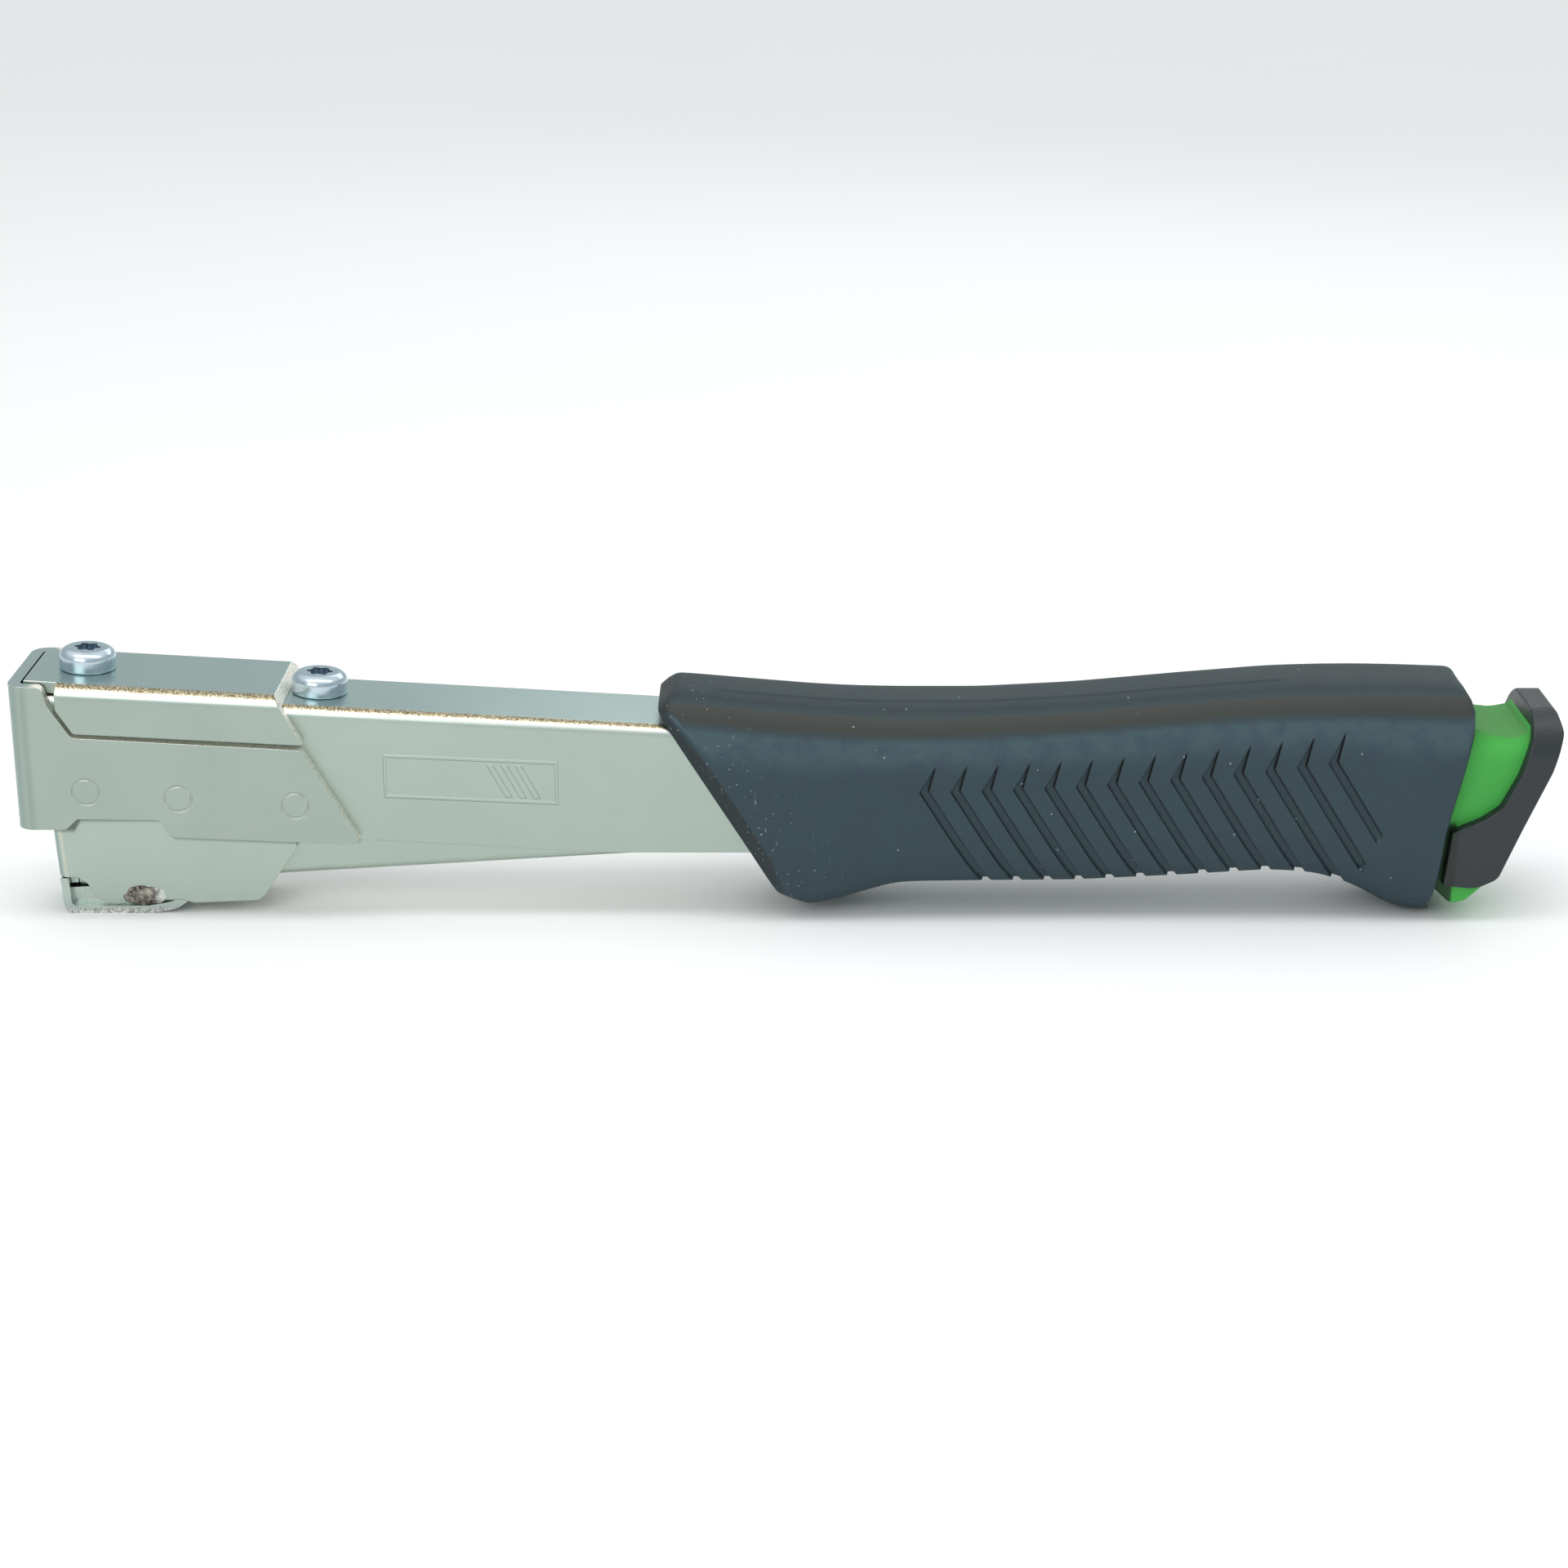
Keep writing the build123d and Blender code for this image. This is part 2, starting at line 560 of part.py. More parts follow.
def main():
    os.makedirs("parts", exist_ok=True)
    for build in PARTS:
        shape = build()
        if isinstance(shape, list):
            shape = Compound(children=shape)
        export_step(shape, f"parts/{build.__name__}.step")


main()
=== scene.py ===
import json
import math

import bmesh
import bpy
import numpy as np
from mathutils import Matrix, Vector, noise


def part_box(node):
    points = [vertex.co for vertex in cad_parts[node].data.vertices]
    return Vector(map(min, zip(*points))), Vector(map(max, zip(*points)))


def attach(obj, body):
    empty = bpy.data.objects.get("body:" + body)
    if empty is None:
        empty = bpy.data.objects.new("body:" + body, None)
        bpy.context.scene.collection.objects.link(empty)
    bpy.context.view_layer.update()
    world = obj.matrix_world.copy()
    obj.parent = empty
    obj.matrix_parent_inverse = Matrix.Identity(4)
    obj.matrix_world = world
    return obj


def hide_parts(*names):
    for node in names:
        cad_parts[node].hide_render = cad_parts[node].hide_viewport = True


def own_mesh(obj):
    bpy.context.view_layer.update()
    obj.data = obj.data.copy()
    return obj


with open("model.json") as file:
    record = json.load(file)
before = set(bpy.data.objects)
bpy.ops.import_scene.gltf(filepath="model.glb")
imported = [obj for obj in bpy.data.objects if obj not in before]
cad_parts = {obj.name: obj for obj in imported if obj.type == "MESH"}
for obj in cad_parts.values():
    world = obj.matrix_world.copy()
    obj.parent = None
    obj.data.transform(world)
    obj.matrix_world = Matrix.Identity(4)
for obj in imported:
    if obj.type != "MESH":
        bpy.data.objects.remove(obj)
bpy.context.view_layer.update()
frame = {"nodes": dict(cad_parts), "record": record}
NODES = frame["nodes"]
MM = 0.001

# ------------------------------------------------------------------ shader helpers


def new_material(name):
    """An empty node material with a Principled shader; returns material, tree, shader."""
    material = bpy.data.materials.new(name)
    material.use_nodes = True
    tree = material.node_tree
    tree.nodes.clear()
    out = tree.nodes.new("ShaderNodeOutputMaterial")
    shader = tree.nodes.new("ShaderNodeBsdfPrincipled")
    tree.links.new(shader.outputs["BSDF"], out.inputs["Surface"])
    return material, tree, shader


def feed(tree, socket, value):
    """Links a socket to a socket, or sets it to a plain value."""
    if isinstance(value, bpy.types.NodeSocket):
        tree.links.new(value, socket)
    else:
        socket.default_value = value


def calc(tree, operation, *values):
    """A Math node."""
    node = tree.nodes.new("ShaderNodeMath")
    node.operation = operation
    for socket, value in zip(node.inputs, values):
        feed(tree, socket, value)
    return node.outputs[0]


def ramp(tree, value, low, high, to_low=0.0, to_high=1.0):
    """Smooth step of a value between two limits."""
    node = tree.nodes.new("ShaderNodeMapRange")
    node.interpolation_type = "SMOOTHSTEP"
    for name, number in zip(("Value", "From Min", "From Max", "To Min", "To Max"),
                            (value, low, high, to_low, to_high)):
        feed(tree, node.inputs[name], number)
    return node.outputs["Result"]


def mix(tree, factor, first, second, blend="MIX"):
    """A colour mix."""
    node = tree.nodes.new("ShaderNodeMix")
    node.data_type = "RGBA"
    node.blend_type = blend
    feed(tree, node.inputs[0], factor)
    feed(tree, node.inputs[6], first)
    feed(tree, node.inputs[7], second)
    return node.outputs[2]


def object_coordinates(tree, stretch=(1, 1, 1)):
    """Object coordinates in metres, stretched along the axes."""
    coord = tree.nodes.new("ShaderNodeTexCoord")
    mapping = tree.nodes.new("ShaderNodeMapping")
    mapping.inputs["Scale"].default_value = stretch
    tree.links.new(coord.outputs["Object"], mapping.inputs["Vector"])
    return mapping.outputs["Vector"]


def parts_of(tree, vector):
    """X, Y and Z of a vector."""
    node = tree.nodes.new("ShaderNodeSeparateXYZ")
    tree.links.new(vector, node.inputs[0])
    return node.outputs[0], node.outputs[1], node.outputs[2]


def surface_normal(tree):
    """X, Y and Z of the object's own normal."""
    coord = tree.nodes.new("ShaderNodeTexCoord")
    return parts_of(tree, coord.outputs["Normal"])


def grain(tree, scale, detail=3.0, rough=0.55, stretch=(1, 1, 1)):
    """Noise between 0 and 1; scale is in cycles per metre."""
    node = tree.nodes.new("ShaderNodeTexNoise")
    node.inputs["Scale"].default_value = scale
    node.inputs["Detail"].default_value = detail
    node.inputs["Roughness"].default_value = rough
    tree.links.new(object_coordinates(tree, stretch), node.inputs["Vector"])
    return node.outputs["Fac"]


def bump(tree, shader, height, distance, strength=1.0):
    """Bump from a height between 0 and 1, its full depth given in metres."""
    node = tree.nodes.new("ShaderNodeBump")
    feed(tree, node.inputs["Strength"], strength)
    node.inputs["Distance"].default_value = distance
    tree.links.new(height, node.inputs["Height"])
    tree.links.new(node.outputs["Normal"], shader.inputs["Normal"])


# ------------------------------------------------------------------ materials


def painted_joint_shade(tree):
    """Painted shade: a dark strip on the magazine's sides where they run out from under the head's
    bracket.
    """
    x, _, z = parts_of(tree, object_coordinates(tree))
    slope = calc(tree, "MULTIPLY", calc(tree, "MAXIMUM", calc(tree, "ADD", x, 0.1303), 0.0), 0.0412)
    edge = calc(tree, "ADD", ramp(tree, x, -0.1518, -0.1497, 0.0211, 0.0235),
                ramp(tree, x, -0.1320, -0.1302, 0.0, -0.0040))
    below = calc(tree, "SUBTRACT", calc(tree, "ADD", z, slope), edge)
    return calc(tree, "MULTIPLY", ramp(tree, below, -0.0029, -0.0015), ramp(tree, x, -0.090, -0.092))


def plated_steel(name, emblem=False, bright_cut=0.0, tone=1.0, painted_shade=False):
    """Satin nickel plate: faint clouds, fine grain, gold-tinted grain where the sheet bends, and
    painted light: a painted highlight on the bends, the rounded corners and the sheared edges,
    painted shade on faces turned towards X and at the bracket's front, a painted lighter top, and,
    when chosen, painted shade below the bracket.
    """
    material, tree, shader = new_material(name)
    clouds = grain(tree, 55.0, 4.0)
    streaks = grain(tree, 90.0, 5.0, 0.6, (0.5, 1.0, 4.0))
    peel = grain(tree, 700.0, 2.0)
    coarse = grain(tree, 2600.0, 3.0, 0.75)
    nx, ny, nz = surface_normal(tree)
    side = calc(tree, "ABSOLUTE", ny)
    front = calc(tree, "ABSOLUTE", nx)
    flat_sheet = ramp(tree, calc(tree, "ABSOLUTE", nz), 0.45, 0.25)
    # painted highlight: mask of the sheet's bends, which are painted near white
    painted_bend_highlight = calc(tree, "MULTIPLY", ramp(tree, side, 0.08, 0.28), ramp(tree, side, 0.97, 0.80))
    golden = calc(tree, "MULTIPLY", ramp(tree, side, 0.05, 0.15), ramp(tree, side, 0.78, 0.62))
    golden = calc(tree, "MULTIPLY", golden, ramp(tree, nz, 0.45, 0.60))
    painted_bend_highlight = calc(tree, "MULTIPLY", painted_bend_highlight, ramp(tree, nz, 0.10, 0.30))
    plate = mix(tree, clouds, (0.345, 0.43, 0.385, 1), (0.445, 0.525, 0.475, 1))
    plate = mix(tree, calc(tree, "MULTIPLY", streaks, 0.30), plate, (0.50, 0.50, 0.42, 1))
    # painted highlight on vertical faces turned partly towards X, the rounded corners
    painted_corner_highlight = calc(tree, "MULTIPLY", ramp(tree, front, 0.10, 0.24), ramp(tree, front, 0.48, 0.34))
    painted_corner_highlight = calc(tree, "MULTIPLY", painted_corner_highlight, flat_sheet)
    plate = mix(tree, 1.0, plate, (tone, tone, tone, 1), "MULTIPLY")
    plate = mix(tree, calc(tree, "MULTIPLY", painted_corner_highlight, 0.6), plate, (0.60, 0.60, 0.50, 1))
    # painted shade on vertical faces turned further towards X
    painted_corner_shade = calc(tree, "MULTIPLY", ramp(tree, front, 0.46, 0.66), flat_sheet)
    plate = mix(tree, calc(tree, "MULTIPLY", painted_corner_shade, 0.8), plate, (0.25, 0.33, 0.31, 1))
    speckle = ramp(tree, coarse, 0.42, 0.60)
    gold = mix(tree, speckle, (0.16, 0.125, 0.06, 1), (0.66, 0.60, 0.44, 1))
    # painted light: upward faces painted lighter and bluer
    top = mix(tree, ramp(tree, nz, 0.85, 0.99), plate, (0.44, 0.55, 0.53, 1))
    # painted highlight on the bends
    bright = mix(tree, painted_bend_highlight, top, (0.93, 0.95, 0.91, 1))
    # painted highlight: sheared edges, on the bracket and cap also faces not turned sideways,
    # painted near white with gold-brown grain
    cut = calc(tree, "MULTIPLY", ramp(tree, side, 0.30, 0.12), ramp(tree, nx, -0.30, 0.0))
    cut = calc(tree, "MULTIPLY", cut, ramp(tree, nz, bright_cut, bright_cut - 0.05))
    x, _, _ = parts_of(tree, object_coordinates(tree))
    cut = calc(tree, "MULTIPLY", cut, ramp(tree, x, -0.1580, -0.1565))
    # painted shade on the vertical faces at the very front of the bracket
    painted_lip_shade = calc(tree, "MULTIPLY", ramp(tree, x, -0.1575, -0.1590, 0.0, 0.7), flat_sheet)
    bright = mix(tree, painted_lip_shade, bright, (0.27, 0.34, 0.31, 1))
    edge = mix(tree, ramp(tree, coarse, 0.36, 0.52), (0.50, 0.44, 0.30, 1), (1.0, 0.99, 0.93, 1))
    colour = mix(tree, cut, mix(tree, golden, bright, gold), edge)
    # painted shade: the magazine's sides darkened below the bracket's lower edge
    if painted_shade:
        colour = mix(tree, calc(tree, "MULTIPLY", painted_joint_shade(tree), 0.8), colour,
                     (0.07, 0.09, 0.085, 1))
    feed(tree, shader.inputs["Base Color"], colour)
    shader.inputs["Metallic"].default_value = 1.0
    rough = calc(tree, "MULTIPLY_ADD", clouds, 0.10, 0.20)
    rough = calc(tree, "MULTIPLY_ADD", streaks, 0.05, rough)
    rough = calc(tree, "MULTIPLY_ADD", ramp(tree, side, 0.90, 0.98), 0.13, rough)
    feed(tree, shader.inputs["Roughness"], calc(tree, "MULTIPLY_ADD", cut, 0.28, rough))
    height = calc(tree, "MULTIPLY_ADD", coarse, calc(tree, "MULTIPLY", golden, 3.0),
                  calc(tree, "MULTIPLY", peel, 0.07))
    if emblem:
        height = calc(tree, "ADD", height, calc(tree, "MULTIPLY", plain_emblem(tree), 14.0))
    bump(tree, shader, height, 0.00001)
    return material


def band(tree, value, low, high, edge=0.00012):
    """1 where a value lies between two limits, in metres, with a narrow soft edge."""
    rise = ramp(tree, value, low - edge, low + edge)
    fall = ramp(tree, value, high + edge, high - edge)
    return calc(tree, "MULTIPLY", rise, fall)


def plain_emblem(tree):
    """A plain embossed frame with three slanting ribs on the body's side, with no lettering."""
    x, y, z = parts_of(tree, object_coordinates(tree))
    z = calc(tree, "MULTIPLY_ADD", x, 0.045, z)
    outer = calc(tree, "MULTIPLY", band(tree, x, -0.0846, -0.0478), band(tree, z, 0.0237, 0.0333))
    inner = calc(tree, "MULTIPLY", band(tree, x, -0.0840, -0.0484), band(tree, z, 0.0243, 0.0327))
    line = calc(tree, "SUBTRACT", outer, inner)
    slant = calc(tree, "MULTIPLY_ADD", z, 0.55, x)
    ribs = calc(tree, "ADD", band(tree, slant, -0.0452, -0.0438),
                calc(tree, "ADD", band(tree, slant, -0.0422, -0.0408),
                     band(tree, slant, -0.0392, -0.0378)))
    inside = calc(tree, "MULTIPLY", band(tree, x, -0.0836, -0.0488),
                  band(tree, z, 0.0249, 0.0321))
    ribs = calc(tree, "MULTIPLY", ribs, inside)
    side = ramp(tree, calc(tree, "ABSOLUTE", y), 0.0110, 0.0116)
    return calc(tree, "MULTIPLY", calc(tree, "ADD", line, ribs), side)


def bare_steel(name, dark, light, rough, scratch=1.0):
    """Machined or drawn steel with fine lines along X and small stains."""
    material, tree, shader = new_material(name)
    lines = grain(tree, 260.0, 5.0, 0.65, (0.12, 1.0, 1.0))
    stains = grain(tree, 170.0, 4.0)
    pits = grain(tree, 1900.0, 2.0)
    colour = mix(tree, lines, dark, light)
    colour = mix(tree, ramp(tree, stains, 0.56, 0.72, 0.0, 0.45), colour, (0.16, 0.14, 0.12, 1))
    feed(tree, shader.inputs["Base Color"], colour)
    shader.inputs["Metallic"].default_value = 1.0
    feed(tree, shader.inputs["Roughness"], calc(tree, "MULTIPLY_ADD", lines, 0.16, rough))
    height = calc(tree, "ADD", calc(tree, "MULTIPLY", lines, scratch), pits)
    bump(tree, shader, height, 0.000012)
    return material


def zinc_plate():
    """Bright zinc with a bluish cast and turning marks."""
    material, tree, shader = new_material("zinc")
    clouds = grain(tree, 320.0, 4.0)
    marks = grain(tree, 1300.0, 4.0, 0.6, (1, 1, 5))
    colour = mix(tree, clouds, (0.42, 0.52, 0.60, 1), (0.66, 0.74, 0.80, 1))
    feed(tree, shader.inputs["Base Color"], colour)
    shader.inputs["Metallic"].default_value = 1.0
    feed(tree, shader.inputs["Roughness"], calc(tree, "MULTIPLY_ADD", clouds, 0.14, 0.14))
    bump(tree, shader, calc(tree, "ADD", marks, clouds), 0.000014)
    return material


def worn_foot():
    """Plated foot, worn bright and pitted along the edge that strikes."""
    material, tree, shader = new_material("worn_foot")
    clouds = grain(tree, 140.0, 4.0)
    pits = grain(tree, 1700.0, 4.0, 0.7)
    _, _, z = parts_of(tree, object_coordinates(tree))
    wear = ramp(tree, calc(tree, "MULTIPLY_ADD", pits, 0.0016, z), 0.0024, 0.0012)
    plate = mix(tree, clouds, (0.36, 0.43, 0.40, 1), (0.55, 0.61, 0.57, 1))
    bright = mix(tree, ramp(tree, pits, 0.40, 0.60), (0.30, 0.31, 0.30, 1), (0.9, 0.9, 0.88, 1))
    feed(tree, shader.inputs["Base Color"], mix(tree, wear, plate, bright))
    shader.inputs["Metallic"].default_value = 1.0
    feed(tree, shader.inputs["Roughness"], calc(tree, "MULTIPLY_ADD", pits, 0.25, 0.15))
    bump(tree, shader, calc(tree, "MULTIPLY_ADD", wear, pits, pits), 0.00005)
    return material


def weld_bead():
    """Rough grey-brown weld metal with a bright rim and dark slag spots."""
    material, tree, shader = new_material("weld")
    lumps = grain(tree, 420.0, 5.0, 0.7)
    spots = grain(tree, 800.0, 3.0)
    x, _, _ = parts_of(tree, object_coordinates(tree))
    colour = mix(tree, ramp(tree, lumps, 0.38, 0.64), (0.10, 0.085, 0.07, 1), (0.36, 0.33, 0.29, 1))
    colour = mix(tree, ramp(tree, spots, 0.60, 0.68), colour, (0.03, 0.022, 0.018, 1))
    silver = ramp(tree, calc(tree, "MULTIPLY_ADD", lumps, 0.004, x), -0.1340, -0.1315)
    feed(tree, shader.inputs["Base Color"], mix(tree, silver, colour, (0.70, 0.72, 0.69, 1)))
    shader.inputs["Metallic"].default_value = 0.85
    feed(tree, shader.inputs["Roughness"], calc(tree, "MULTIPLY_ADD", spots, 0.35, 0.25))
    bump(tree, shader, calc(tree, "ADD", lumps, spots), 0.0002)
    return material


def cell_dots(tree, scale, share, size):
    """Small bright dots: a share of the cells of a grid gets one each."""
    node = tree.nodes.new("ShaderNodeTexVoronoi")
    node.inputs["Scale"].default_value = scale
    tree.links.new(object_coordinates(tree), node.inputs["Vector"])
    red, _, _ = parts_of(tree, node.outputs["Color"])
    chosen = calc(tree, "LESS_THAN", red, share)
    dot = ramp(tree, node.outputs["Distance"], size, size * 0.45)
    return calc(tree, "MULTIPLY", chosen, dot)


def grip_rubber():
    """Matt slate rubber: soft clouds, moulded grain, dust specks and short scuffs, with a painted
    highlight band and a painted warm sheen on the upper sides, a painted darker top, painted shade
    on faces turned towards the front and painted shade in the groove creases.
    """
    material, tree, shader = new_material("rubber")
    clouds = grain(tree, 38.0, 4.0)
    tint = grain(tree, 210.0, 3.0)
    fine = grain(tree, 2400.0, 3.0, 0.6)
    x, _, z = parts_of(tree, object_coordinates(tree))
    nx, _, nz = surface_normal(tree)
    colour = mix(tree, clouds, (0.015, 0.038, 0.049, 1), (0.024, 0.056, 0.068, 1))
    # painted highlight: a lighter band on the upper sides where they curve to the top
    colour = mix(tree, calc(tree, "MULTIPLY", ramp(tree, nz, 0.04, 0.22),
                            ramp(tree, nz, 0.50, 0.34)), colour, (0.040, 0.076, 0.090, 1))
    colour = mix(tree, ramp(tree, tint, 0.40, 0.66, 0.0, 0.45), colour, (0.022, 0.037, 0.058, 1))
    # painted reflection: a warm sheen band on the upper sides
    painted_warm_sheen = calc(tree, "MULTIPLY", ramp(tree, nz, 0.35, 0.60), ramp(tree, nz, 0.93, 0.75))
    colour = mix(tree, calc(tree, "MULTIPLY", painted_warm_sheen, 0.8), colour, (0.027, 0.026, 0.017, 1))
    # painted shade: the rubber's top painted darker
    colour = mix(tree, ramp(tree, nz, 0.80, 0.96, 0.0, 0.7), colour, (0.004, 0.012, 0.013, 1))
    # painted shade on the faces turned towards the front
    painted_front_shade = ramp(tree, nx, -0.35, -0.55, 0.0, 0.8)
    colour = mix(tree, painted_front_shade, colour, (0.010, 0.014, 0.016, 1))
    # painted shade along the groove creases, read from a point attribute
    groove = tree.nodes.new("ShaderNodeAttribute")
    groove.attribute_name = "painted_groove_shade"
    colour = mix(tree, groove.outputs["Fac"], colour, (0.003, 0.004, 0.005, 1))
    near_front = ramp(tree, calc(tree, "MULTIPLY_ADD", z, 0.63, x), 0.028, 0.004)
    few = cell_dots(tree, 620.0, 0.035, 0.16)
    many = calc(tree, "MULTIPLY", cell_dots(tree, 1300.0, 0.12, 0.24), near_front)
    scuffs = ramp(tree, grain(tree, 900.0, 2.0, 0.5, (1.0, 1.0, 0.35)), 0.70, 0.76)
    scuffs = calc(tree, "MULTIPLY", scuffs, calc(tree, "MULTIPLY", near_front, 0.5))
    dust = calc(tree, "MINIMUM", calc(tree, "ADD", calc(tree, "ADD", few, many), scuffs), 1.0)
    feed(tree, shader.inputs["Base Color"],
         mix(tree, calc(tree, "MULTIPLY", dust, 0.75), colour, (0.34, 0.42, 0.46, 1)))
    feed(tree, shader.inputs["Roughness"], calc(tree, "MULTIPLY_ADD", clouds, 0.14, 0.50))
    shader.inputs["Specular IOR Level"].default_value = 0.42
    bump(tree, shader, fine, 0.00003)
    return material


def moulded_plastic(name, dark, light, painted_shade_top, rough, depth, scale, shine):
    """Moulded plastic, finely textured, soft clouds, with a painted darker top and painted shade low
    down next to the grip.
    """
    material, tree, shader = new_material(name)
    clouds = grain(tree, 75.0, 4.0)
    texture = grain(tree, scale, 2.0, 0.6)
    _, _, nz = surface_normal(tree)
    dusty = cell_dots(tree, 520.0, 0.03, 0.15)
    colour = mix(tree, clouds, dark, light)
    # painted shade: the top painted darker
    colour = mix(tree, ramp(tree, nz, 0.25, 0.80, 0.0, 0.65), colour, painted_shade_top)
    x, _, z = parts_of(tree, object_coordinates(tree))
    # painted shade for the gap between grip and knob; it moves with the knob and darkens its lower
    # front when pulled out
    painted_shade = calc(tree, "MULTIPLY", ramp(tree, x, 0.1432, 0.1424), ramp(tree, z, 0.0228, 0.0210))
    colour = mix(tree, calc(tree, "MULTIPLY", painted_shade, 0.9), colour, (0.006, 0.012, 0.008, 1))
    feed(tree, shader.inputs["Base Color"],
         mix(tree, calc(tree, "MULTIPLY", dusty, 0.6), colour, (0.40, 0.45, 0.45, 1)))
    feed(tree, shader.inputs["Roughness"], calc(tree, "MULTIPLY_ADD", texture, 0.25, rough))
    shader.inputs["Specular IOR Level"].default_value = shine
    bump(tree, shader, texture, depth)
    return material


def spring_wire():
    """Oiled spring wire with drawing lines."""
    return bare_steel("spring_wire", (0.10, 0.11, 0.12, 1), (0.36, 0.37, 0.38, 1), 0.22, 0.6)


SLOT_MATERIALS = {
    "nickel_steel": plated_steel("nickel"),
    "zinc_screw": zinc_plate(),
    "plain_steel": bare_steel("bare_steel", (0.26, 0.27, 0.28, 1), (0.56, 0.57, 0.58, 1), 0.24),
    "hardened_steel": worn_foot(),
    "weld_metal": weld_bead(),
    "spring_steel": spring_wire(),
    "grip_rubber": grip_rubber(),
    "green_plastic": moulded_plastic(
        "green", (0.045, 0.34, 0.052, 1), (0.070, 0.46, 0.075, 1), (0.035, 0.16, 0.022, 1),
        0.40, 0.00003, 2600.0, 0.32),
    "black_plastic": moulded_plastic(
        "black", (0.012, 0.0165, 0.020, 1), (0.021, 0.027, 0.032, 1), (0.012, 0.014, 0.016, 1),
        0.28, 0.00008, 2100.0, 0.5),
}
SLOT_OF = {part["node"]: part["material_slot"] for part in frame["record"]["subparts"]}
for node_name, node_object in NODES.items():
    node_object.data.materials.clear()
    node_object.data.materials.append(SLOT_MATERIALS[SLOT_OF[node_name]])
NODES["body_channel"].data.materials[0] = plated_steel("nickel_marked", emblem=True)
NODES["head_bracket"].data.materials[0] = plated_steel("nickel_wrap", bright_cut=2.0, tone=0.91)
NODES["head_cap"].data.materials[0] = plated_steel("nickel_cap", bright_cut=0.9, tone=0.92)
# the magazine's plate gets painted shade below the bracket's lower edge
for magazine_part in ("nosepiece", "magazine_channel"):
    NODES[magazine_part].data.materials[0] = plated_steel(
        "nickel_" + magazine_part, tone=1.05, painted_shade=True)

# ------------------------------------------------------------------ edges of the sheet parts


EDGE_SEGMENTS = 3
EDGE_ANGLE = 32.0         # degrees between faces from which an edge is rounded
FLAT_ANGLE = 0.6          # degrees below which faces are merged first


def soften(node, width):
    """Rounds a CAD node's hard edges without touching its mesh."""
    part = NODES[node]
    weld = part.modifiers.new("weld", "WELD")
    weld.merge_threshold = 0.000004
    flat = part.modifiers.new("flat", "DECIMATE")
    flat.decimate_type = "DISSOLVE"
    flat.angle_limit = math.radians(FLAT_ANGLE)
    edge = part.modifiers.new("edge", "BEVEL")
    edge.width = width
    edge.segments = EDGE_SEGMENTS
    edge.limit_method = "ANGLE"
    edge.angle_limit = math.radians(EDGE_ANGLE)
    edge.use_clamp_overlap = False
    normals = part.modifiers.new("normals", "WEIGHTED_NORMAL")
    normals.keep_sharp = False
    normals.weight = 60


# Rounding of each sheet part's edges in metres
SHEET_EDGES = {"head_bracket": 0.00012, "head_cap": 0.00025, "body_channel": 0.0002,
               "nosepiece": 0.0002, "magazine_channel": 0.0002}
for sheet_part, sheet_edge in SHEET_EDGES.items():
    soften(sheet_part, sheet_edge)

# ------------------------------------------------------------------ mesh helpers


def mesh_object(name, points, faces, material, sharp=None):
    """A smooth-shaded mesh from points in millimetres."""
    mesh = bpy.data.meshes.new(name)
    mesh.from_pydata([tuple(p) for p in np.asarray(points) * MM], [], faces)
    shape = bmesh.new()
    shape.from_mesh(mesh)
    bmesh.ops.recalc_face_normals(shape, faces=shape.faces)
    shape.to_mesh(mesh)
    shape.free()
    mesh.polygons.foreach_set("use_smooth", [True] * len(mesh.polygons))
    if sharp is not None:
        mesh.set_sharp_from_angle(angle=math.radians(sharp))
    mesh.materials.append(material)
    made = bpy.data.objects.new(name, mesh)
    bpy.context.scene.collection.objects.link(made)
    return made


def ring_faces(rings, count, closed):
    """Quads between rings of equal length."""
    faces = []
    for ring in range(rings if closed else rings - 1):
        here = ring * count
        there = (ring + 1) % rings * count
        for k in range(count):
            after = (k + 1) % count
            faces.append((here + k, here + after, there + after, there + k))
    return faces


# ------------------------------------------------------------------ grip

# Stations along the handle in millimetres: X, underside, top, half width
STATIONS = np.array([
    (-34, .6, 50.4, 15.6), (-22, .8, 50, 15.8), (-8, .9, 48.7, 16), (6, .9, 47.5, 16),
    (14, 3.2, 47, 15.9), (24, 6.4, 46.75, 15.7), (42, 6.6, 46.8, 15.4), (62, 6.7, 47.9, 15.2),
    (84, 7.8, 49.9, 15.4), (104, 9.2, 51.5, 15.8), (114, 8.6, 51.8, 16), (123, 5.6, 51.9, 16.1),
    (131, .6, 51.8, 16.15), (137, .05, 51.6, 16.15), (150, .05, 51.1, 16),
])
ROWS = 320
CHEVRONS = 14
PITCH = 6.59
GROOVE = 2.1
GROOVE_DEPTH = 0.75
# Across a groove: place, share of the depth, painted shade in the crease
GROOVE_PROFILE = ((0, 0, 0.35), (.14, 1, 1), (.42, 1, 0), (1.05, 1, 0), (1.62, 1, 0.1),
                  (1.92, 1, 1), (GROOVE, 0, 0.9))
LEG_SLOPE = 0.625
RIM = 4.4
SQUARENESS = 3.3
RIM_SQUARENESS = 7.0
GROOVE_FEET = {12: 11.7, 13: 18.5}    # the last two grooves end at these heights
RIM_STEPS = (0, .3, 1.0, 1.9, 2.8, 3.6, 4.0, 4.3, 4.6, 5.0, 5.8)
RIM_END = RIM_STEPS[-1]
REAR_STEPS = (1.0, .55, .25, .07, 0)
STRIP_HEIGHT = 0.22                   # raised strip along the grip's top


